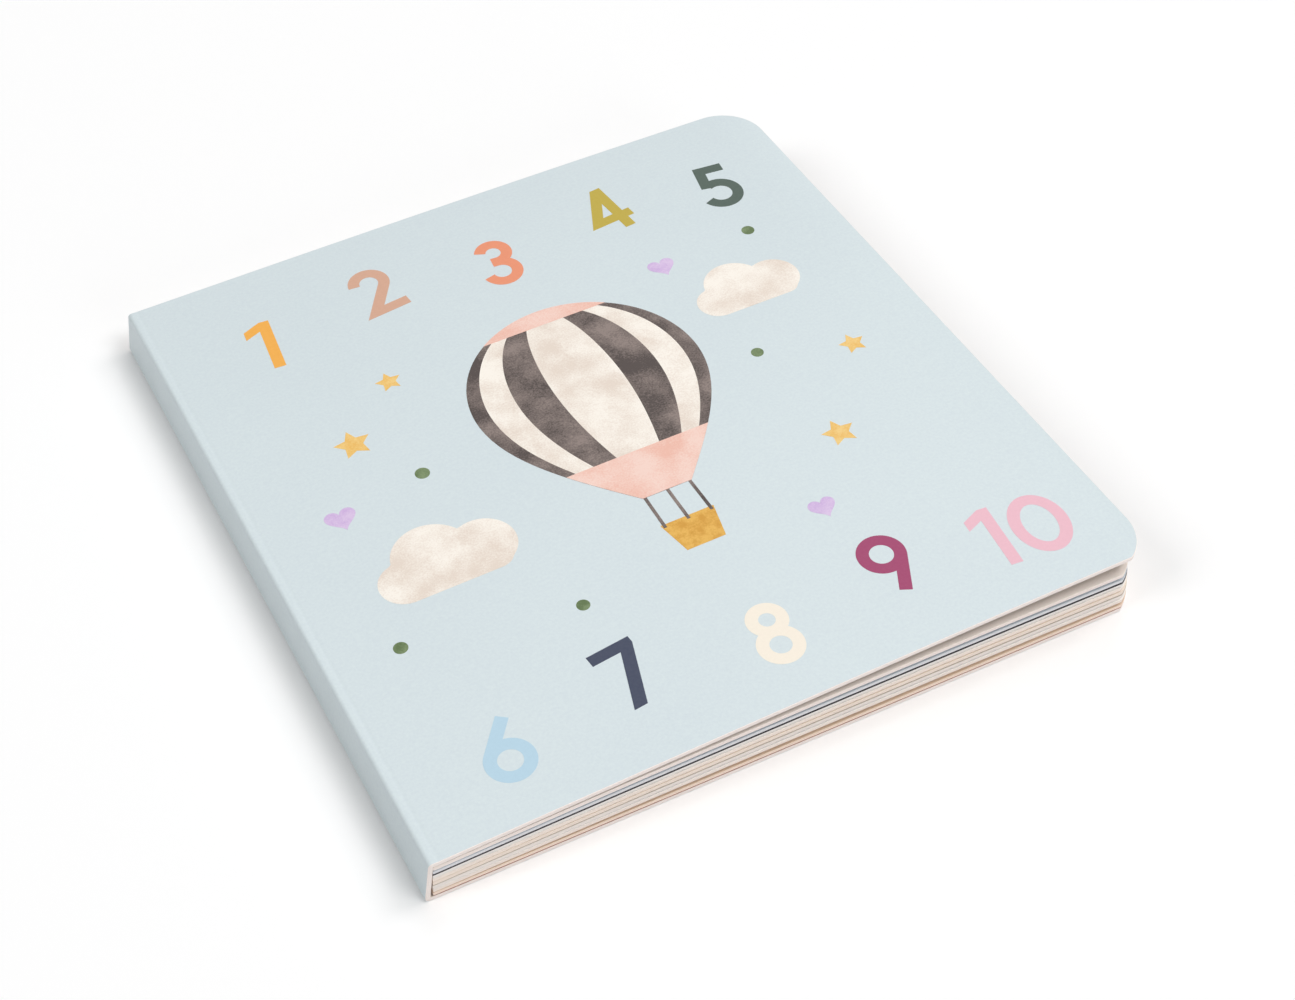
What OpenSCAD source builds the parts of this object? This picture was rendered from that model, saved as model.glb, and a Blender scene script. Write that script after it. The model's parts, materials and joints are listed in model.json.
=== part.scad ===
// A board book for babies, lying on its back cover with the front cover a little open.
// Millimetres. +Z is up, +X runs from the spine to the fore-edge, +Y from the tail to the head.
// The origin is on the back cover's outer face, half a cover's width from its fold and midway along it.

/* [Cover] */
// Width of the front cover, from its fold to the fore-edge, where the back cover ends too
cover_w = 168; // [120:1:220]
// Height of the book, from tail to head
book_h = 180; // [120:1:240]
// Thickness of the cover card
card_t = 1.05; // [0.6:0.05:2]
// Radius of the rounded corners at the fore-edge
corner_r = 11.5; // [3:0.5:20]
// What was trimmed off the tail after the corners were rounded
tail_trim = 1.5; // [0:0.1:2.5]
// Width of the shoulder glued to the top leaf, from the fold to the score line
shoulder_w = 2.2; // [1.5:0.1:8]
// How far the foot of the spine stands out past its top
spine_lean = 1.5; // [0:0.1:3]
// How far the front cover's fore-edge stands off the top leaf
cover_gape = 3.7; // [0.5:0.1:8]

/* [Pages] */
// Number of board leaves
leaf_count = 8; // [4:1:14]
// Thickness of one leaf
leaf_t = 1.03; // [0.6:0.01:2]
// Room between two leaves at the binding
leaf_gap = 0.08; // [0.05:0.01:0.2]
// Width of the glue between the leaves, past the score line
binding_w = 1.5; // [1:0.5:10]
// How far the top leaf's fore-edge has drawn back from the covers' edge
leaf_draw = 1.5; // [0:0.1:3]
// How far the top leaf's fore-edge has risen
leaf_lift = 2.35; // [0:0.05:4]
// Crown of the top leaf, halfway to the fore-edge
leaf_bow = 1.1; // [0:0.1:2]

/* [Clearances] */
// Room between a cover board and the leaf it closes on
board_clear = 0.15; // [0.1:0.05:0.4]
// Room between two lengths of card at a hinge
hinge_gap = 0.2; // [0.1:0.05:0.5]
// Room between the foot of the spine and the leaves' backs
foot_gap = 0.45; // [0.1:0.05:0.8]

/* [Hidden] */

cover_blue = "#D7E3E7";
page_cream = "#EFE6DA";
curve_steps = 12;
round_fn = 96;
// The cover's stand-off grows towards the fore-edge
gape_power = 1.55;
// Share of the top leaf's rise that a leaf has taken, by its place from the bottom of the stack to the top
leaf_rests = [[0, 0], [0.15, 0.26], [0.3, 0.42], [0.45, 0.48], [0.7, 0.7], [0.85, 0.76], [1, 1]];

// Heights of the stack at the spine
leaf_pitch = leaf_t + leaf_gap;
block_foot = card_t + board_clear;
block_top = block_foot + leaf_count * leaf_pitch - leaf_gap;
spine_top = block_top + board_clear + card_t;

// Places across the book
low_fold_x = -cover_w / 2;
top_fold_x = low_fold_x + spine_lean;
score_x = top_fold_x + shoulder_w;
cover_fore_x = top_fold_x + cover_w;
leaf_fore_x = cover_fore_x - leaf_draw;

// The spine panel's inner face runs this far in from its outer face, measured level
lean_angle = atan2(spine_lean, spine_top);
panel_level_t = card_t / cos(lean_angle);

// Outer face of the spine at height z
function spine_x(z) = low_fold_x + spine_lean * z / spine_top;

// The leaves' backs run from where the top leaf meets the spine panel to a little inside its foot
leaf_back_x = spine_x(block_top) + panel_level_t;
leaf_back_foot_x = spine_x(block_foot) + panel_level_t + foot_gap;

// How far along the opening part of the book x lies: 0 at the score line, 1 at the top leaf's fore-edge
function along(x) = max(0, (x - score_x) / (leaf_fore_x - score_x));

// Leaf 0 lies flat on the back cover, and each leaf above it has risen and crowned more
function leaf_share(k) = k / (leaf_count - 1);
function leaf_rise(k, x) = let (s = along(x), share = lookup(leaf_share(k), leaf_rests))
    leaf_lift * share * s + leaf_bow * sqrt(share) * 4 * s * (1 - s);
function leaf_under(k, x) = block_foot + k * leaf_pitch + leaf_rise(k, x);
function leaf_over(k, x) = leaf_under(k, x) + leaf_t;
function leaf_end(k) = cover_fore_x - leaf_draw * leaf_share(k);

// The front cover follows the top leaf and stands off it more and more
function cover_rise(x) = leaf_rise(leaf_count - 1, x) + cover_gape * pow(along(x), gape_power);

// Evenly spaced places from one x to another
function stations(from, to) = [for (i = [0:curve_steps]) from + (to - from) * i / curve_steps];
function reversed(list) = [for (i = [len(list) - 1:-1:0]) list[i]];

// A section drawn in X and Z, run from the tail to the head
module along_spine() {
    translate([0, book_h / 2, 0])
        rotate([90, 0, 0])
            linear_extrude(height = book_h)
                children();
}

// A board's outline before its tail was trimmed: square at the spine, rounded at the fore-edge
module board_outline(back_x, fore_x) {
    rough_tail_y = -book_h / 2 - tail_trim;
    rough_h = book_h + tail_trim;
    translate([back_x, rough_tail_y])
        square([fore_x - corner_r - back_x, rough_h]);
    translate([back_x, rough_tail_y + corner_r])
        square([fore_x - back_x, rough_h - 2 * corner_r]);
    for (y = [rough_tail_y + corner_r, book_h / 2 - corner_r])
        translate([fore_x - corner_r, y])
            circle(r = corner_r, $fn = round_fn);
}

// What lies inside a board's outline, over the whole height of the book
module trimmed(back_x, fore_x) {
    trim_h = spine_top + leaf_lift + 4 * leaf_bow + 2 * cover_gape;
    intersection() {
        children();
        translate([0, 0, -card_t])
            linear_extrude(height = trim_h + 2 * card_t)
                board_outline(back_x, fore_x);
    }
}

// The quarter round of a fold in the card, around its inner corner and above a given height
module fold_quarter(inner_x, inner_z, low_z) {
    intersection() {
        translate([inner_x, inner_z])
            circle(r = card_t, $fn = round_fn);
        translate([inner_x - card_t, low_z])
            square(card_t);
    }
}

// The front board, from the score line to the fore-edge, crowned and standing open
module front_cover() {
    back_x = score_x + hinge_gap;
    xs = stations(back_x, cover_fore_x);
    section = concat(
        [for (x = xs) [x, spine_top - card_t + cover_rise(x)]],
        [for (x = reversed(xs)) [x, spine_top + cover_rise(x)]]);
    color(cover_blue)
        trimmed(back_x, cover_fore_x)
            along_spine()
                polygon(section);
}

// The panel over the leaves' backs, folded over at its top into the shoulder on the top leaf
module spine() {
    panel_foot = card_t + board_clear;
    fold_z = spine_top - card_t;
    fold_x = spine_x(fold_z) + panel_level_t;
    panel_section = [
        [spine_x(panel_foot), panel_foot],
        [spine_x(panel_foot) + panel_level_t, panel_foot],
        [fold_x, fold_z],
        [fold_x - card_t * cos(lean_angle), fold_z + card_t * sin(lean_angle)]];
    color(cover_blue)
        along_spine() {
            polygon(panel_section);
            fold_quarter(fold_x, fold_z, fold_z);
            translate([fold_x, block_top])
                square([score_x - fold_x, spine_top - block_top]);
        }
}

// The back board, flat on the table, with the rounded lower fold at its spine edge
module back_cover() {
    fold_x = low_fold_x + card_t;
    color(cover_blue) {
        trimmed(fold_x, cover_fore_x)
            along_spine()
                translate([fold_x, 0])
                    square([cover_fore_x - fold_x, card_t]);
        along_spine()
            fold_quarter(fold_x, card_t, 0);
    }
}

// One leaf from the glue to its fore-edge, which has drawn back more the higher the leaf lies
module leaf(k, back_x) {
    xs = stations(back_x, leaf_end(k));
    section = concat(
        [for (x = xs) [x, leaf_under(k, x)]],
        [for (x = reversed(xs)) [x, leaf_over(k, x)]]);
    trimmed(back_x, leaf_end(k))
        along_spine()
            polygon(section);
}

// All the leaves, glued to each other at their backs and free from there to the fore-edge
module page_block() {
    slot_x = score_x + binding_w;
    glued_section = concat(
        [[leaf_back_foot_x, block_foot]],
        [for (k = [0:leaf_count - 1]) each [
            [slot_x, leaf_under(k, slot_x)],
            [slot_x, leaf_over(k, slot_x)]]],
        [[score_x, block_top], [leaf_back_x, block_top]]);
    color(page_cream) {
        along_spine()
            polygon(glued_section);
        for (k = [0:leaf_count - 1])
            leaf(k, slot_x);
    }
}

front_cover();
spine();
back_cover();
page_block();
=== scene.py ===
import json
import math
import random

import bmesh
import bpy
from mathutils import Matrix, Vector


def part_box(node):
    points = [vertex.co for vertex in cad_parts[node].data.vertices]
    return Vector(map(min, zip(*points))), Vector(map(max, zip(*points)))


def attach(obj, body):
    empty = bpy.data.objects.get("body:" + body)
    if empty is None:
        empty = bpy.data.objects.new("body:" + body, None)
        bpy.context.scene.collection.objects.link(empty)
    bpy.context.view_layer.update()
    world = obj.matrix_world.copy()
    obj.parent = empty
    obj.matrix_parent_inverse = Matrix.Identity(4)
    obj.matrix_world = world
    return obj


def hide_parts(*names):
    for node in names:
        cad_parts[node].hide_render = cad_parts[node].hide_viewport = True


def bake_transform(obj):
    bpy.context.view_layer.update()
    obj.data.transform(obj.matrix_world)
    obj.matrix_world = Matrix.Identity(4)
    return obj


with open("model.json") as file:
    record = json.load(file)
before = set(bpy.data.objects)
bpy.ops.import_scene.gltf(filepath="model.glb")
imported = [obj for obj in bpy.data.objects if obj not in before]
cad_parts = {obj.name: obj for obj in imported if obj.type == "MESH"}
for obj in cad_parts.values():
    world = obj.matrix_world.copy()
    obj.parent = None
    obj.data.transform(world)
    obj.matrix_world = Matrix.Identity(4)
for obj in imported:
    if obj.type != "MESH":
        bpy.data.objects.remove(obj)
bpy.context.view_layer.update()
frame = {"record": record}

# Studio: a plain white floor under the book, a broad soft lamp towards each of its four sides, weak ones
# overhead and low before the tail, and a white surround for fill. The camera looks down on the tail edge.
mm = 0.001
photo_w = 1295
focal_px = 2191.0
sensor_mm = 36.0
camera_place = Vector((-158.84, -322.71, 354.22)) * mm
camera_aim = Vector((4.41, -12.99, 0)) * mm
camera_roll = math.radians(0.336)
floor_drop = 0.05 * mm
floor_side = 6.0
floor_shown = 1.0
floor_bounce = 0.85
fill_level = 0.2
lamps = {
    "tail_lamp": (Vector((2.42, -3.17, 5.76)), 2.8, 158.0),
    "fore_lamp": (Vector((4.37, 0.0, 5.47)), 2.8, 132.0),
    "head_lamp": (Vector((2.52, 3.36, 5.6)), 2.8, 60.0),
    "spine_lamp": (Vector((-5.18, 0.0, 4.71)), 2.8, 123.0),
    "top_lamp": (Vector((0.0, 0.2, 3.0)), 3.0, 7.0),
    "low_lamp": (Vector((0.9, -4.9, 1.5)), 2.0, 24.0),
}


class Wire:
    """A socket in a node tree: sums written with it add Math nodes, and node() adds any other kind."""

    def __init__(self, tree, socket=None):
        self.tree = tree
        self.socket = socket

    def node(self, kind, settings=None, sockets=None, output=0):
        made = self.tree.nodes.new(kind)
        for name, value in (settings or {}).items():
            setattr(made, name, value)
        for name, value in (sockets or {}).items():
            if isinstance(value, Wire):
                self.tree.links.new(value.socket, made.inputs[name])
            else:
                made.inputs[name].default_value = value
        return Wire(self.tree, made.outputs[output] if made.outputs else None)

    def sum(self, operation, left, right):
        return self.node("ShaderNodeMath", {"operation": operation}, {0: left, 1: right})

    def __add__(self, other):
        return self.sum("ADD", self, other)

    def __radd__(self, other):
        return self.sum("ADD", other, self)

    def __sub__(self, other):
        return self.sum("SUBTRACT", self, other)

    def __rsub__(self, other):
        return self.sum("SUBTRACT", other, self)

    def __mul__(self, other):
        return self.sum("MULTIPLY", self, other)

    def __rmul__(self, other):
        return self.sum("MULTIPLY", other, self)

    def __lt__(self, other):
        return self.sum("LESS_THAN", self, other)

    def __gt__(self, other):
        return self.sum("GREATER_THAN", self, other)

    def clamp(self):
        return self.node("ShaderNodeClamp", None, {"Value": self})

    def mix(self, low, high):
        """A colour between two others, by this value."""
        return self.node("ShaderNodeMix", {"data_type": "RGBA"}, {0: self, 6: low, 7: high}, 2)


def paint(code):
    """The linear colour of an sRGB code such as D7E3E7."""
    parts = [int(code[i : i + 2], 16) / 255 for i in (0, 2, 4)]
    return tuple(p / 12.92 if p <= 0.04045 else ((p + 0.055) / 1.055) ** 2.4 for p in parts) + (1.0,)


def between(low, high, share):
    """A colour part of the way from one to another."""
    return tuple(a + (b - a) * share for a, b in zip(low, high))


def new_finish(name):
    """An empty material, and the wire that its nodes grow from."""
    finish = bpy.data.materials.new(name)
    finish.use_nodes = True
    finish.node_tree.nodes.clear()
    return finish, Wire(finish.node_tree)


def close_finish(wire, sockets):
    """Ends a material in one Principled shader with these sockets."""
    shader = wire.node("ShaderNodeBsdfPrincipled", None, sockets)
    wire.node("ShaderNodeOutputMaterial", None, {"Surface": shader})


def seen_directly(wire):
    """One where a ray comes straight from the eye, or by way of gloss or glass."""
    eye = wire.node("ShaderNodeLightPath", output="Is Camera Ray")
    gloss = wire.node("ShaderNodeLightPath", output="Is Glossy Ray")
    glass = wire.node("ShaderNodeLightPath", output="Is Transmission Ray")
    return (eye + gloss + glass).clamp()


scene = bpy.context.scene
scene.view_settings.view_transform = "Standard"

surround = bpy.data.worlds.new("surround")
scene.world = surround
surround.use_nodes = True
surround.node_tree.nodes.clear()
sky = Wire(surround.node_tree)
sky_level = fill_level + (1 - fill_level) * seen_directly(sky)
sky_light = sky.node("ShaderNodeBackground", None, {"Color": (1, 1, 1, 1), "Strength": sky_level})
sky.node("ShaderNodeOutputWorld", None, {"Surface": sky_light})

bpy.ops.object.select_all(action="DESELECT")
bpy.ops.mesh.primitive_plane_add(size=floor_side, location=(0, 0, -floor_drop))
floor = bpy.context.object
floor.name = "floor"
floor_finish, wire = new_finish("white_floor")
floor_tone = seen_directly(wire).mix((floor_bounce,) * 3 + (1,), (floor_shown,) * 3 + (1,))
close_finish(wire, {"Base Color": floor_tone, "Roughness": 1.0, "Specular IOR Level": 0.0})
floor.data.materials.append(floor_finish)

for name, (place, side, watts) in lamps.items():
    bpy.ops.object.light_add(type="AREA", location=place)
    lamp = bpy.context.object
    lamp.name = name
    lamp.data.size = side
    lamp.data.energy = watts
    lamp.rotation_euler = place.to_track_quat("Z", "Y").to_euler()

bpy.ops.object.camera_add(location=camera_place)
camera = bpy.context.object
camera.data.sensor_width = sensor_mm
camera.data.lens = focal_px / photo_w * sensor_mm
view_turn = (camera_place - camera_aim).to_track_quat("Z", "Y")
camera.rotation_euler = (view_turn.to_matrix() @ Matrix.Rotation(camera_roll, 3, "Z")).to_euler()
scene.camera = camera

# Back of the cover: one sheet of pulp card, printed pale blue outside and peach inside, creased round
# the foot of the spine. It lies flat on the table.
back_low, back_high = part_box("back_cover")
spine_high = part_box("spine")[1]
front_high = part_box("front_cover")[1]
joints = {joint["name"]: joint for joint in frame["record"]["behaviour"]["joints"]}
book_h = back_high.y - back_low.y
card_t = back_high.z - back_low.z
low_fold_x = back_low.x
cover_w = -2 * low_fold_x
top_fold_x = front_high.x - cover_w
spine_top = spine_high.z
score_x = joints["front_hinge"]["pos_m"][0]
corner_r = 11.5 * mm
corner_steps = 16
tail_trim = 1.5 * mm
card_rims = (0.2 * mm, 0.07 * mm)
rim_steps = 3
back_steps = 4
smooth_angle = math.radians(35)
crease_r = 1.0 * mm
crease_steps = 10
seam_z = 3.6 * mm
sliver = 1e-6
side_normal_z = 0.5
lean = math.atan2(top_fold_x - low_fold_x, spine_top)
up_spine = Vector((math.sin(lean), 0, math.cos(lean)))
into_spine = Vector((math.cos(lean), 0, -math.sin(lean)))
film_shine = 0.3
film_rough = 0.42
film_rough_spread = 0.14
film_grain = 0.35 * mm
film_grain_depth = 0.12
grain_height = 0.1 * mm
fleck_scale = 1500.0
cloud_scale = 22.0
cloud_share = 0.25
pulp_scale = 2200.0
skin = 0.02
print_deep = paint("CCD7DD")
print_pale = paint("DDE8E9")
core_white = paint("FFF8F4")
core_shade = paint("FAEBE3")
inside_peach = paint("CF907A")
# The front board's inside is a dark lining: painted shade that deepens the gap under the lifted cover.
front_lining_painted_shade = paint("6E5346")
inside_cream = paint("EDE1D6")
lining_start = 2 * mm
lining_fade = 0.15


def pick(piece, kind, test):
    """Selects, in edit mode, the vertices, edges or faces of a piece that pass a test."""
    bpy.ops.mesh.select_mode(type=kind)
    bpy.ops.mesh.select_all(action="DESELECT")
    shape = bmesh.from_edit_mesh(piece.data)
    parts = {"VERT": shape.verts, "EDGE": shape.edges, "FACE": shape.faces}[kind]
    for part in parts:
        if test(part):
            part.select_set(True)
    bmesh.update_edit_mesh(piece.data)


def on_rim(edge):
    """Whether an edge runs between a broad face of a board and its cut side."""
    steep = [abs(face.normal.z) < side_normal_z for face in edge.link_faces]
    return any(steep) and not all(steep)


def add_rows(rows):
    """Cuts rows of edges across the piece in edit mode, so that it can bend between them."""
    for row in rows:
        bpy.ops.mesh.select_all(action="SELECT")
        bpy.ops.mesh.bisect(plane_co=(row, 0, 0), plane_no=(1, 0, 0))


def cut_board(name, back, fore, thickness, rows, rims, back_round=0):
    """A die-cut board lying flat: square back corners, round fore-edge corners and softened rims, the lower
    one first. The tail is trimmed after the corners are rounded, so it cuts into the lower arc."""
    bpy.ops.object.select_all(action="DESELECT")
    bpy.ops.mesh.primitive_plane_add(size=1)
    board = bpy.context.object
    board.name = name
    board.data.name = name
    bpy.ops.transform.resize(value=(fore - back, book_h + tail_trim, 1))
    bpy.ops.transform.translate(value=((fore + back) / 2, -tail_trim / 2, 0))
    bpy.ops.object.transform_apply(location=True, rotation=True, scale=True)
    bpy.ops.object.mode_set(mode="EDIT")
    pick(board, "VERT", lambda vert: vert.co.x > fore - sliver)
    bpy.ops.mesh.bevel(offset=corner_r, affect="VERTICES", segments=corner_steps)
    bpy.ops.mesh.select_all(action="SELECT")
    bpy.ops.mesh.bisect(plane_co=(0, -book_h / 2, 0), plane_no=(0, 1, 0), clear_inner=True)
    bpy.ops.mesh.select_all(action="SELECT")
    bpy.ops.mesh.extrude_region_move(TRANSFORM_OT_translate={"value": (0, 0, thickness)})
    bpy.ops.mesh.select_all(action="SELECT")
    bpy.ops.mesh.normals_make_consistent(inside=False)

    def at_back(edge):
        return all(vert.co.x < back + sliver for vert in edge.verts)

    def at_height(edge, height):
        return all(abs(vert.co.z - height) < sliver for vert in edge.verts)

    if back_round:
        pick(board, "EDGE", lambda edge: at_back(edge) and on_rim(edge))
        bpy.ops.mesh.bevel(offset=back_round, affect="EDGES", segments=back_steps)
    for height, rim in zip((0, thickness), rims):
        pick(board, "EDGE", lambda edge: on_rim(edge) and at_height(edge, height) and not at_back(edge))
        bpy.ops.mesh.bevel(offset=rim, affect="EDGES", segments=rim_steps)
    add_rows(rows)
    bpy.ops.object.mode_set(mode="OBJECT")
    return board


def mark_flat(piece, thickness):
    """Notes on each point how far through the flat board it lies, from 0 to 1, and how far along it."""
    depths = piece.data.attributes.new("through", "FLOAT", "POINT")
    runs = piece.data.attributes.new("run", "FLOAT", "POINT")
    for vert, depth, run in zip(piece.data.vertices, depths.data, runs.data):
        depth.value = vert.co.z / thickness
        run.value = vert.co.x


def shape_by(piece, place):
    """Moves every point of a piece to where a function places it."""
    for vert in piece.data.vertices:
        vert.co = place(vert.co)
    piece.data.update()


def smooth(piece):
    """Shades a piece smoothly, except at its sharp rims."""
    bpy.ops.object.select_all(action="DESELECT")
    piece.select_set(True)
    bpy.context.view_layer.objects.active = piece
    bpy.ops.object.shade_smooth_by_angle(angle=smooth_angle)


def noise(wire, place, scale, detail):
    """A random mottle: a value from 0 to 1 for each place."""
    return wire.node("ShaderNodeTexNoise", None, {"Vector": place, "Scale": scale, "Detail": detail})


def grain_bump(wire, place, size, depth):
    """A fine even grain, as of film or paper, for a shader's normal."""
    grain = noise(wire, place, 1 / size, detail=3.0)
    return wire.node("ShaderNodeBump", None, {"Height": grain, "Strength": depth, "Distance": grain_height})


def card_finish(name, inside, lined_run):
    """Cover card: matt film over pale blue print, white pulp at its cut edges; inside, the lining colour
    given.
    """
    finish, wire = new_finish(name)
    place = wire.node("ShaderNodeTexCoord", output="Object")
    run = wire.node("ShaderNodeAttribute", {"attribute_name": "run"}, output="Fac")
    through = wire.node("ShaderNodeAttribute", {"attribute_name": "through"}, output="Fac")
    cloud = noise(wire, place, cloud_scale, detail=2.0)
    fleck = noise(wire, place, fleck_scale, detail=2.0)
    pulp = noise(wire, place, pulp_scale, detail=4.0)
    mottle = cloud_share * cloud + (1 - cloud_share) * fleck
    print_blue = mottle.clamp().mix(print_deep, print_pale)
    lining = fleck.mix(between(inside, core_shade, lining_fade), between(inside, core_white, lining_fade))
    # Beyond the given run the inside takes the lining; on the front board that lining is dark painted
    # shade.
    lining = (run > lined_run).mix(inside_cream, lining)
    colour = (through > skin).mix(print_blue, pulp.mix(core_shade, core_white))
    colour = (through > 1 - skin).mix(colour, lining)
    bump = grain_bump(wire, place, film_grain, film_grain_depth)
    close_finish(wire, {"Base Color": colour, "Roughness": film_rough + film_rough_spread * fleck,
                        "Normal": bump, "Specular IOR Level": film_shine})
    return finish


foot_turn = math.pi / 2 + lean
foot_reach = crease_r * math.tan(foot_turn / 2)
foot_centre = Vector((low_fold_x + foot_reach, 0, crease_r))
seam_point = Vector((low_fold_x, 0, 0)) + up_spine * (seam_z / math.cos(lean))
foot_run = seam_z / math.cos(lean) - foot_reach
foot_end = foot_run + crease_r * foot_turn


def fold_back(co):
    """Where a point of the flat back sheet goes: down the spine, round its crease, along the table."""
    run = co.x
    depth = co.z
    if run <= foot_run:
        spot = seam_point - up_spine * run + into_spine * depth
    elif run <= foot_end:
        angle = math.pi - lean + (run - foot_run) / crease_r
        spot = foot_centre + (crease_r - depth) * Vector((math.cos(angle), 0, math.sin(angle)))
    else:
        spot = Vector((foot_centre.x + run - foot_end, 0, depth))
    return Vector((spot.x, co.y, spot.z))


foot_rows = [foot_run + (foot_end - foot_run) * i / crease_steps for i in range(crease_steps + 1)]
back_length = foot_end + back_high.x - foot_centre.x
back_rows = foot_rows + [foot_end + lining_start]
back_card = cut_board("back_card", 0, back_length, card_t, back_rows, card_rims)
mark_flat(back_card, card_t)
shape_by(back_card, fold_back)
smooth(back_card)
back_card.data.materials.append(card_finish("back_cover_card", inside_peach, foot_end + lining_start))
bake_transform(back_card)
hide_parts("back_cover")

# Pages: eight thick leaves, each two printed spreads pasted back to back, with round fore-edge corners.
# They are glued along the spine and have warped a little: the upper ones stand apart and draw back.
block_low, block_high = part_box("page_block")
leaf_count = 8
leaf_t = 1.03 * mm
leaf_pitch = 1.11 * mm
leaf_lift = 2.35 * mm
leaf_bow = 1.1 * mm
leaf_rests = [0.0, 0.25, 0.41, 0.47, 0.59, 0.71, 0.77, 1.0]
leaf_draw = 1.5 * mm
leaf_rims = (0.1 * mm, 0.1 * mm)
back_round = 0.2 * mm
back_strays = 0.12 * mm
leaf_rows_apart = 6 * mm
foot_gap = 0.45 * mm
leaf_fore_x = block_high.x - leaf_draw
block_foot = block_low.z
# Print wrapped over the cut edges, in shares of a leaf's thickness; its lines partly paint the gaps' shade.
ink_wraps_and_gap_shade = [0.16, 0.1, 0.06, 0.1, 0.1, 0.06, 0.2, 0.14, 0.08]
edge_shade = paint("CFC5BA")
shade_share = 0.12
white_share = 0.3
fibre_scale = (250, 250, 5200)
page_fleck_scale = 1300.0
page_fleck_share = 0.06
page_rough = 0.55
page_rough_spread = 0.2
page_grain = 0.4 * mm
page_grain_depth = 0.15
spread_colours = ["94604E", "E6CDB5", "FCF7F1", "CFC3B4", "F6E6D5",
                  "FAF4ED", "262027", "C8CDD2", "FFF4EA"]
leaf_tints = ["FFE4D0", "FCEEE4", "F6EDE6", "FCEADB", "FFEFE3", "F5F1EC", "E2E5EC", "FFF1EA"]
strays = random.Random(8)


def along(x):
    """How far a place lies from the cover's score line to the top leaf's fore-edge, from 0 to 1."""
    return max(0.0, (x - score_x) / (leaf_fore_x - score_x))


def leaf_rise(index, x):
    """How far a leaf has lifted and bowed above a closed flat block."""
    share = leaf_rests[index]
    s = along(x)
    return leaf_lift * share * s + leaf_bow * math.sqrt(share) * 4 * s * (1 - s)


def panel_inside(z):
    """Where the leaning spine panel's inner face stands at a height."""
    return low_fold_x + z * math.tan(lean) + card_t / math.cos(lean)


def leaf_finish(index):
    """Coated board: print on each face, wrapped a hair over a pale, fibrous cut edge, partly as painted
    shade.
    """
    finish, wire = new_finish(f"leaf_board_{index + 1}")
    tint = paint(leaf_tints[index])
    below, above = [paint(code) for code in spread_colours[index:index + 2]]
    low_wrap_and_shade, high_wrap_and_shade = ink_wraps_and_gap_shade[index:index + 2]
    place = wire.node("ShaderNodeTexCoord", output="Object")
    through = wire.node("ShaderNodeAttribute", {"attribute_name": "through"}, output="Fac")
    stretch = wire.node("ShaderNodeMapping", None, {"Vector": place, "Scale": fibre_scale})
    plies = noise(wire, stretch, 1.0, detail=3.0)
    fleck = noise(wire, place, page_fleck_scale, detail=2.0)
    edge = plies.mix(between(tint, edge_shade, shade_share), between(tint, core_white, white_share))
    # Bands of the spread colours along the cut edge: print, and partly painted shade between the leaves.
    colour = (through < low_wrap_and_shade).mix(edge, below)
    colour = (through > 1 - high_wrap_and_shade).mix(colour, above)
    colour = (page_fleck_share * fleck).mix(colour, core_white)
    bump = grain_bump(wire, place, page_grain, page_grain_depth)
    close_finish(wire, {"Base Color": colour, "Roughness": page_rough + page_rough_spread * fleck,
                        "Normal": bump, "Specular IOR Level": film_shine})
    return finish


leaf_row_count = int((leaf_fore_x - score_x) / leaf_rows_apart) + 1
leaf_rows = [score_x + leaf_rows_apart * i for i in range(leaf_row_count)]
for index in range(leaf_count):
    share = index / (leaf_count - 1)
    foot = block_foot + index * leaf_pitch
    stray = strays.uniform(0, back_strays) * (1 - share)
    back = panel_inside(foot + leaf_t) + foot_gap * (1 - share) ** 2 + stray
    fore = block_high.x - leaf_draw * share
    leaf = cut_board(f"leaf_{index + 1}", back, fore, leaf_t, leaf_rows, leaf_rims, back_round)
    mark_flat(leaf, leaf_t)
    shape_by(leaf, lambda co: Vector((co.x, co.y, co.z + foot + leaf_rise(index, co.x))))
    smooth(leaf)
    leaf.data.materials.append(leaf_finish(index))
    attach(leaf, "block")
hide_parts("page_block")

# Spine and front of the cover: the rest of the wrapped card, creased over the top of the spine, glued
# down on a narrow shoulder and scored beside it.
cover_gape = 3.7 * mm
gape_power = 1.55
score_depth = 0.05 * mm
score_half = 0.8 * mm
score_steps = 4
board_rows_apart = 3 * mm
bend_rows_apart = 0.2 * mm
bend_row_count = 4
open_bend = 1.2 * mm


def cover_top(x):
    """Height of the front cover's outer face."""
    return spine_top + leaf_rise(leaf_count - 1, x) + cover_gape * along(x) ** gape_power


top_turn = math.pi / 2 - lean
top_reach = crease_r * math.tan(top_turn / 2)
top_centre = Vector((top_fold_x + top_reach, 0, spine_top - crease_r))
panel_run = (spine_top - seam_z) / math.cos(lean) - top_reach
panel_end = panel_run + crease_r * top_turn


def score_dip(x):
    """How deep the rule has pressed the card at the score line."""
    reach = abs(x - score_x) / score_half
    return score_depth * (1 + math.cos(math.pi * reach)) / 2 if reach < 1 else 0.0


def fold_front(co):
    """Where a point of the flat front sheet goes: up the spine, over its crease, along the front board."""
    run = co.x
    depth = co.z
    if run <= panel_run:
        spot = seam_point + up_spine * run + into_spine * depth
    elif run <= panel_end:
        angle = math.pi - lean - (run - panel_run) / crease_r
        spot = top_centre + (crease_r - depth) * Vector((math.cos(angle), 0, math.sin(angle)))
    else:
        x = top_centre.x + run - panel_end
        spot = Vector((x, 0, cover_top(x) - score_dip(x) - depth))
    return Vector((spot.x, co.y, spot.z))


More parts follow.
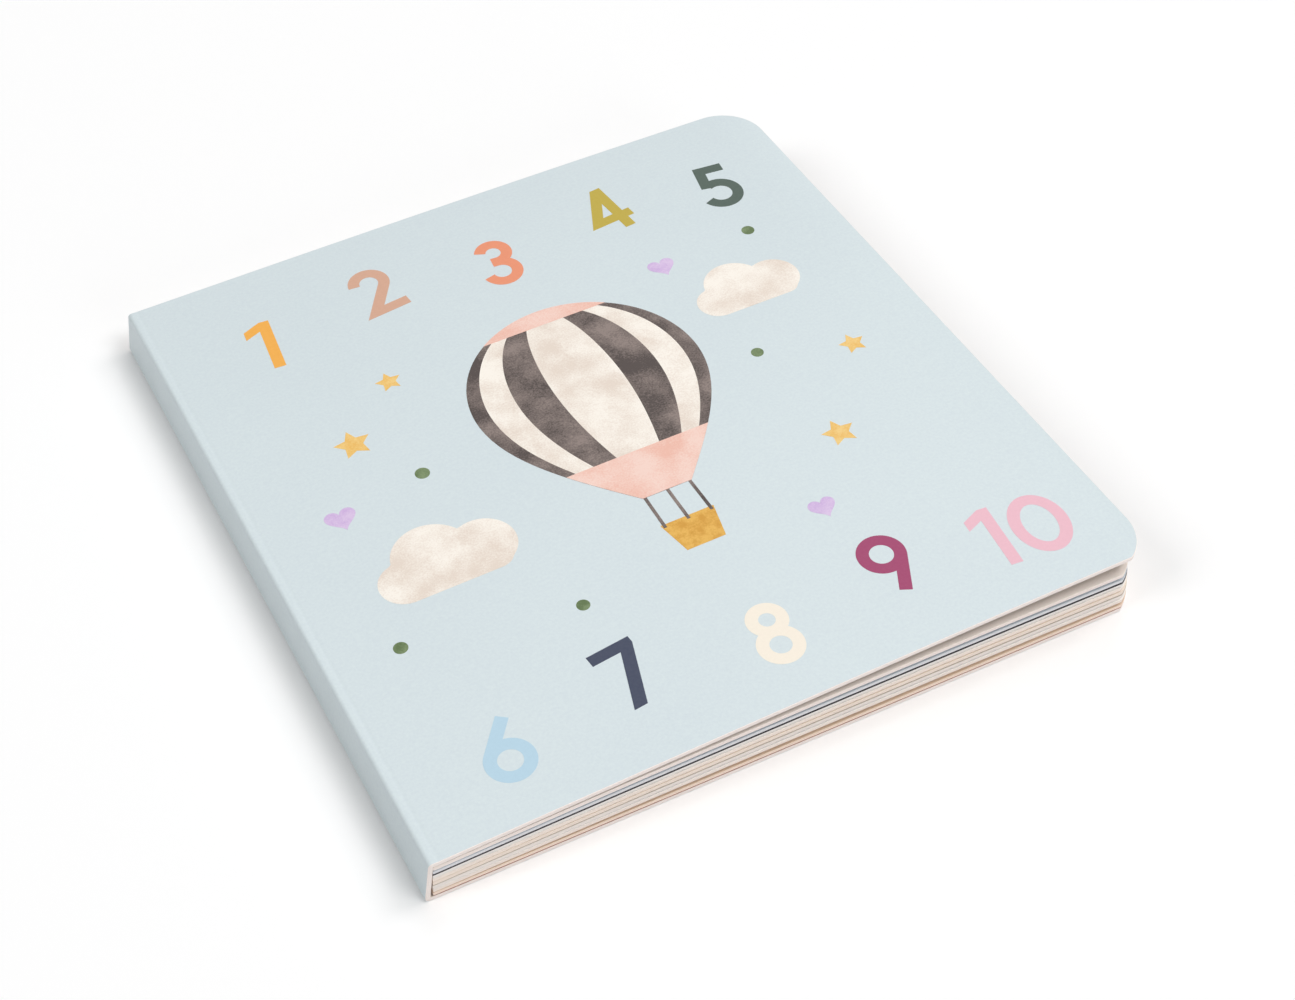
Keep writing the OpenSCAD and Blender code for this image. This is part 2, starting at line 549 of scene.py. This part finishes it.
panel_rows = [panel_run + (panel_end - panel_run) * i / crease_steps for i in range(crease_steps + 1)]
score_run = panel_end + score_x - top_centre.x
score_rows = [score_run + score_half * i / score_steps for i in range(-score_steps, score_steps + 1)]
bend_rows = [score_run + score_half + bend_rows_apart * i for i in range(1, bend_row_count + 1)]
front_length = panel_end + front_high.x - top_centre.x
first_board_row = score_run + board_rows_apart
board_row_count = int((front_length - first_board_row) / board_rows_apart)
board_rows = [first_board_row + board_rows_apart * i for i in range(board_row_count)]
all_rows = panel_rows + score_rows + bend_rows + board_rows
front_card = cut_board("front_card", 0, front_length, card_t, all_rows, card_rims)
mark_flat(front_card, card_t)
shape_by(front_card, fold_front)
smooth(front_card)
# The front board's dark inside lining is painted shade for the gap under the cover.
front_card.data.materials.append(card_finish("front_cover_card", front_lining_painted_shade, score_run + score_half))
open_end = (score_x + open_bend, 0, spine_top)
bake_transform(front_card)
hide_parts("front_cover", "spine")

# Numerals: one to ten, printed on the front board as thin films of matt ink. They are drawn from lines and
# arcs to one width of stroke, and stand in a row at the head and a row at the tail.
numeral_h = 17 * mm
pen = 0.165
arc_step = math.radians(7)
slab = 1 * mm
ink_top = 0.03 * mm
ink_sink = 0.02 * mm
ink_layer = 0.015 * mm
ink_rows_apart = 6 * mm
numeral_rows = [(57 * mm, "1 2 3 4 5"), (-78 * mm, "6 7 8 9 10")]
numeral_xs = [-58 * mm, -28 * mm, 3 * mm, 34 * mm, 64 * mm]
numeral_sway = 2.5 * mm
numeral_tilt = math.radians(6)
ink_black = (0.0, 0.0, 0.0, 1.0)
ink_darkening = 0.06
ink_lightening = 0.03
speck_scale = 2600.0
wash_contrast = 3.2
speck_contrast = 1.4
numeral_inks = {
    "1": "F5B04A", "2": "D6A88F", "3": "EC9470", "4": "BFA93E", "5": "46584F",
    "6": "B9D7E8", "7": "333C54", "8": "FBF1E1", "9": "A03C69", "10": "F0BECB",
}


def arc(x, y, across, up, start, end):
    """Points along part of an ellipse, from one angle in degrees to another."""
    first = math.radians(start)
    sweep = math.radians(end) - first
    steps = max(2, round(abs(sweep) / arc_step))
    angles = [first + sweep * i / steps for i in range(steps + 1)]
    return [(x + across * math.cos(angle), y + up * math.sin(angle)) for angle in angles]


def stroke(points, width, closed=False):
    """A strip of ink laid along a path of points, mitred at its corners."""
    last = len(points) - 1
    bpy.ops.object.select_all(action="DESELECT")
    bpy.ops.mesh.primitive_grid_add(x_subdivisions=last, y_subdivisions=1, size=1)
    strip = bpy.context.object
    spots = [Vector(point) for point in points]
    for vert in strip.data.vertices:
        index = round((vert.co.x + 0.5) * last)
        before = spots[last - 1 if closed else 0] if index == 0 else spots[index - 1]
        after = spots[1 if closed else last] if index == last else spots[index + 1]
        coming = (spots[index] - before) if before != spots[index] else (after - spots[index])
        going = (after - spots[index]) if after != spots[index] else coming
        side = Vector((-coming.y, coming.x)).normalized() + Vector((-going.y, going.x)).normalized()
        side *= width / 2 * math.copysign(1, vert.co.y) * 2 / side.length_squared
        vert.co = (spots[index] + side).to_3d()
    return thicken(strip)


def outline(points):
    """A flat shape of ink inside a ring of points."""
    bpy.ops.object.select_all(action="DESELECT")
    bpy.ops.mesh.primitive_circle_add(vertices=len(points), radius=1, fill_type="NGON")
    shape = bpy.context.object
    for vert, point in zip(shape.data.vertices, points):
        vert.co = (point[0], point[1], 0)
    return thicken(shape)


def thicken(flat):
    """Turns a flat shape into a slab around its own plane, thick enough to cut and join."""
    bpy.ops.object.mode_set(mode="EDIT")
    bpy.ops.mesh.select_all(action="SELECT")
    bpy.ops.mesh.remove_doubles(threshold=sliver)
    bpy.ops.transform.translate(value=(0, 0, -slab / 2))
    bpy.ops.mesh.select_all(action="SELECT")
    bpy.ops.mesh.extrude_region_move(TRANSFORM_OT_translate={"value": (0, 0, slab)})
    bpy.ops.mesh.select_all(action="SELECT")
    bpy.ops.mesh.normals_make_consistent(inside=False)
    bpy.ops.object.mode_set(mode="OBJECT")
    return flat


def combine(base, parts, operation):
    """Joins slabs to a base slab, or cuts them out of it."""
    for part in parts:
        bpy.ops.object.select_all(action="DESELECT")
        bpy.context.view_layer.objects.active = base
        cut = base.modifiers.new("combine", "BOOLEAN")
        cut.operation = operation
        cut.solver = "EXACT"
        cut.object = part
        bpy.ops.object.modifier_apply(modifier=cut.name)
        bpy.data.objects.remove(part)
    return base


def lay_ink(piece, name, finish, layer=0):
    """Lays a slab on the front board as a film of ink that follows the board's crown."""
    piece.name = name
    piece.data.name = name
    xs = [vert.co.x for vert in piece.data.vertices]
    bpy.ops.object.select_all(action="DESELECT")
    bpy.context.view_layer.objects.active = piece
    piece.select_set(True)
    bpy.ops.object.mode_set(mode="EDIT")
    first = math.ceil(min(xs) / ink_rows_apart)
    last = math.floor(max(xs) / ink_rows_apart)
    add_rows([ink_rows_apart * i for i in range(first, last + 1)])
    bpy.ops.object.mode_set(mode="OBJECT")
    top = ink_top + layer * ink_layer
    shape_by(piece, lambda co: Vector((co.x, co.y, cover_top(co.x) + (top if co.z > 0 else -ink_sink))))
    piece.data.materials.clear()
    piece.data.materials.append(finish)
    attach(piece, "front_board")


def ink_finish(name, colour, wash=None, wash_size=9 * mm):
    """Matt ink under the cover's film: even, or washed and grained towards a second colour."""
    finish, wire = new_finish(name)
    place = wire.node("ShaderNodeTexCoord", output="Object")
    fleck = noise(wire, place, fleck_scale, detail=2.0)
    if wash:
        cloud = noise(wire, place, 1 / wash_size, detail=4.0)
        speck = noise(wire, place, speck_scale, detail=1.0)
        amount = wash_contrast * (cloud - 0.5) + speck_contrast * (speck - 0.5) + 0.5
        tone = amount.clamp().mix(colour, wash)
    else:
        darker = between(colour, ink_black, ink_darkening)
        paler = between(colour, core_white, ink_lightening)
        tone = fleck.mix(darker, paler)
    bump = grain_bump(wire, place, film_grain, film_grain_depth)
    close_finish(wire, {"Base Color": tone, "Roughness": film_rough + film_rough_spread * fleck,
                        "Normal": bump, "Specular IOR Level": film_shine})
    return finish


def ring(x, y, across, up):
    """A closed loop of stroke."""
    return stroke(arc(x, y, across, up, 0, 360), pen, closed=True)


def draw_numeral(digits):
    """One numeral as a slab, a unit high on its base line."""
    if digits == "1":
        return outline([(0.22, 0), (0.385, 0), (0.385, 1), (0.245, 1), (0, 0.865), (0, 0.7), (0.22, 0.815)])
    if digits == "2":
        return stroke(arc(0.295, 0.7, 0.2175, 0.2175, 172, -38) + [(0.085, 0.0825), (0.6, 0.0825)], pen)
    if digits == "3":
        upper = stroke(arc(0.275, 0.725, 0.1925, 0.1925, 165, -90) + [(0.19, 0.5325)], pen)
        lower = stroke([(0.19, 0.515)] + arc(0.275, 0.2988, 0.2163, 0.2163, 90, -165), pen)
        return combine(upper, [lower], "UNION")
    if digits == "4":
        body = outline([(-0.02, 0.2), (0.42, 0.2), (0.42, 0), (0.585, 0), (0.585, 0.2), (0.69, 0.2),
                        (0.69, 0.365), (0.585, 0.365), (0.585, 1), (0.42, 1)])
        return combine(body, [outline([(0.259, 0.365), (0.42, 0.365), (0.42, 0.658)])], "DIFFERENCE")
    if digits == "5":
        flag = stroke([(0.53, 0.9175), (0.165, 0.9175), (0.128, 0.5)], pen)
        return combine(flag, [stroke(arc(0.285, 0.3325, 0.25, 0.25, 122, -155), pen)], "UNION")
    if digits == "6":
        bowl = ring(0.32, 0.3225, 0.24, 0.24)
        return combine(bowl, [stroke([(0.43, 0.96), (0.115, 0.448)], pen)], "UNION")
    if digits == "7":
        return outline([(0, 1), (0, 0.835), (0.395, 0.835), (0.05, 0), (0.235, 0), (0.6, 0.895), (0.6, 1)])
    if digits == "8":
        return combine(ring(0.3, 0.7275, 0.19, 0.19), [ring(0.3, 0.305, 0.2225, 0.2225)], "UNION")
    if digits == "9":
        bowl = ring(0.32, 0.6775, 0.24, 0.24)
        return combine(bowl, [stroke([(0.21, 0.04), (0.525, 0.552)], pen)], "UNION")
    zero = ring(0.885, 0.5, 0.3025, 0.4175)
    return combine(zero, [draw_numeral("1")], "UNION")


for base_y, digits_row in numeral_rows:
    for place_index, digits in enumerate(digits_row.split()):
        numeral = draw_numeral(digits)
        xs = [vert.co.x for vert in numeral.data.vertices]
        middle = Vector(((min(xs) + max(xs)) / 2, 0.5, 0))
        swing = 1 if place_index % 2 else -1
        turn = Matrix.Rotation(numeral_tilt * swing, 3, "Z")
        spot = Vector((numeral_xs[place_index], base_y + numeral_h / 2 + numeral_sway * swing, 0))
        flatten = Matrix.Diagonal((numeral_h, numeral_h, 1))
        shape_by(numeral, lambda co: turn @ (flatten @ (co - middle)) + spot)
        finish = ink_finish(f"ink_{digits}", paint(numeral_inks[digits]))
        lay_ink(numeral, f"numeral_{digits}", finish)

# Balloon: the picture in the middle of the cover, a striped balloon with a basket on cords, printed in
# washed inks. Each gore is a film over the last one, and the crown and skirt are cut from the same outline.
balloon_x = 3 * mm
balloon_y = 14 * mm
balloon_r = 28 * mm
skirt_drop = 39 * mm
mouth_half = 6 * mm
balloon_points = 96
charcoal = paint("4A403D")
charcoal_wash = paint("8D7F79")
warm_white = paint("FBF4EA")
warm_shade = paint("E6D8CB")
blush = paint("EEBBAA")
blush_wash = paint("F6D6CA")
gores = [(1.0, charcoal, charcoal_wash), (0.87, warm_white, warm_shade),
         (0.62, charcoal, charcoal_wash), (0.3, warm_white, warm_shade)]
crown_y = 23 * mm
skirt_y = -25 * mm
basket_w = 13 * mm
basket_h = 9 * mm
basket_gap = 9 * mm
basket_taper = 0.72
cord_w = 0.8 * mm
cord_spread = 0.92
cord_overlap = 1 * mm
basket_gold = paint("E7B65A")
basket_wash = paint("D39B3E")
weave_size = 2 * mm


def balloon_outline(width_share):
    """The balloon's edge: half round above, drawn in below to its mouth."""
    points = []
    for i in range(balloon_points):
        angle = 2 * math.pi * (i + 0.5) / balloon_points
        side = math.copysign(1, math.cos(angle))
        if math.sin(angle) >= 0:
            x = balloon_r * math.cos(angle)
            y = balloon_r * math.sin(angle)
        else:
            y = skirt_drop * math.sin(angle)
            x = side * (mouth_half + (balloon_r - mouth_half) * math.cos(math.pi / 2 * y / skirt_drop))
        points.append((balloon_x + width_share * x, balloon_y + y))
    return points


def keep_part(piece, y, above):
    """Cuts a slab across and keeps the part above or below the cut."""
    bpy.ops.object.mode_set(mode="EDIT")
    bpy.ops.mesh.select_all(action="SELECT")
    bpy.ops.mesh.bisect(plane_co=(0, y, 0), plane_no=(0, 1, 0), use_fill=True,
                        clear_inner=above, clear_outer=not above)
    bpy.ops.object.mode_set(mode="OBJECT")
    return piece


for layer, (share, colour, wash) in enumerate(gores):
    gore = outline(balloon_outline(share))
    lay_ink(gore, f"gore_{layer + 1}", ink_finish(f"gore_ink_{layer + 1}", colour, wash), layer)
for name, cut_y, above in (("crown", crown_y, True), ("skirt", skirt_y, False)):
    band = keep_part(outline(balloon_outline(1.0)), balloon_y + cut_y, above)
    lay_ink(band, name, ink_finish(f"{name}_ink", blush, blush_wash), len(gores))
mouth_y = balloon_y - skirt_drop
basket_top = mouth_y - basket_gap
basket_half = basket_w / 2
basket_foot_half = basket_half * basket_taper
basket = outline([(balloon_x - basket_half, basket_top),
                  (balloon_x - basket_foot_half, basket_top - basket_h),
                  (balloon_x + basket_foot_half, basket_top - basket_h),
                  (balloon_x + basket_half, basket_top)])
lay_ink(basket, "basket", ink_finish("basket_ink", basket_gold, basket_wash, weave_size))
cords = []
for side in (-1, 0, 1):
    cord_top = (balloon_x + side * mouth_half * cord_spread, mouth_y + cord_overlap)
    cord_foot = (balloon_x + side * (basket_half - cord_w), basket_top - cord_overlap)
    cords.append(stroke([cord_top, cord_foot], cord_w))
cord_ink = ink_finish("cord_ink", charcoal, charcoal_wash)
lay_ink(combine(cords[0], cords[1:], "UNION"), "basket_cords", cord_ink)

# Sky around the balloon: two white clouds, and scattered stars, hearts and dots in gold, lilac and green.
# Each kind is printed in its own washed ink, as one thin film.
cloud_puffs = [(-10, 0, 6), (-2, 4.5, 9), (9, 2, 7.5), (-10, -2, 4), (10, -2, 4)]
cloud_base_y = -6
cloud_base_half = 10
cloud_points = 120
cloud_spots = [(-48, -22, 1.0), (51.15, 24, 0.85)]
star_spots = [(-52, 22, 4.5), (-37, 37, 3.2), (45, -28, 4.2), (63, -4, 3.4)]
heart_spots = [(-63, 2, 3.6), (37, 42, 3.4), (30, -46, 3.2)]
dot_spots = [(-42, 6, 1.7), (-28, -46, 1.5), (62, 44, 1.6), (42, 4, 1.5), (-66, -38, 1.6)]
star_points = 5
star_waist = 0.5
heart_points = 40
heart_reach = 16
speckle_size = 3 * mm
star_gold = paint("EBB85C")
star_wash = paint("F2CE86")
lilac = paint("CDB0DD")
lilac_wash = paint("DCC6E6")
leaf_green = paint("5C7048")
leaf_green_wash = paint("7D8F68")


def disc(x, y, radius):
    """A round spot of ink."""
    return outline(arc(x, y, radius, radius, 0, 360)[:-1])


def star(x, y, radius):
    """A five-pointed star."""
    reach = [radius * (1 if i % 2 == 0 else star_waist) for i in range(2 * star_points)]
    angles = [math.pi / 2 + math.pi * i / star_points for i in range(2 * star_points)]
    return outline([(x + r * math.cos(angle), y + r * math.sin(angle)) for r, angle in zip(reach, angles)])


def heart(x, y, radius):
    """A heart, two lobes over a point."""
    points = []
    for i in range(heart_points):
        t = 2 * math.pi * i / heart_points
        across = heart_reach * math.sin(t) ** 3
        up = 13 * math.cos(t) - 5 * math.cos(2 * t) - 2 * math.cos(3 * t) - math.cos(4 * t)
        points.append((x + radius * across / heart_reach, y + radius * up / heart_reach))
    return outline(points)


def cloud_reach(ray):
    """How far a cloud goes from its middle along a ray: to the last of its puffs, or to its level base."""
    reaches = []
    for x, y, radius in cloud_puffs:
        middle = Vector((x, y))
        nearest = ray.dot(middle)
        half_chord = radius**2 - middle.length_squared + nearest**2
        if half_chord > 0:
            reaches.append(nearest + math.sqrt(half_chord))
    if ray.y < 0 and abs(ray.x / ray.y * cloud_base_y) < cloud_base_half:
        reaches.append(cloud_base_y / ray.y)
    return max(reaches)


def cloud(x, y, unit):
    """Puffs on a level base with round ends, drawn as one outline."""
    points = []
    for i in range(cloud_points):
        angle = 2 * math.pi * i / cloud_points
        ray = Vector((math.cos(angle), math.sin(angle)))
        spot = unit * cloud_reach(ray) * ray
        points.append((x + spot.x, y + spot.y))
    return outline(points)


def scatter(name, draw, spots, finish):
    """Like shapes in one film, from their places and sizes in millimetres."""
    shapes = [draw(x * mm, y * mm, size * mm) for x, y, size in spots]
    lay_ink(combine(shapes[0], shapes[1:], "UNION"), name, finish)


scatter("clouds", cloud, cloud_spots, ink_finish("cloud_ink", warm_white, warm_shade))
scatter("stars", star, star_spots, ink_finish("star_ink", star_gold, star_wash, speckle_size))
scatter("hearts", heart, heart_spots, ink_finish("heart_ink", lilac, lilac_wash, speckle_size))
scatter("dots", disc, dot_spots, ink_finish("dot_ink", leaf_green, leaf_green_wash, speckle_size))
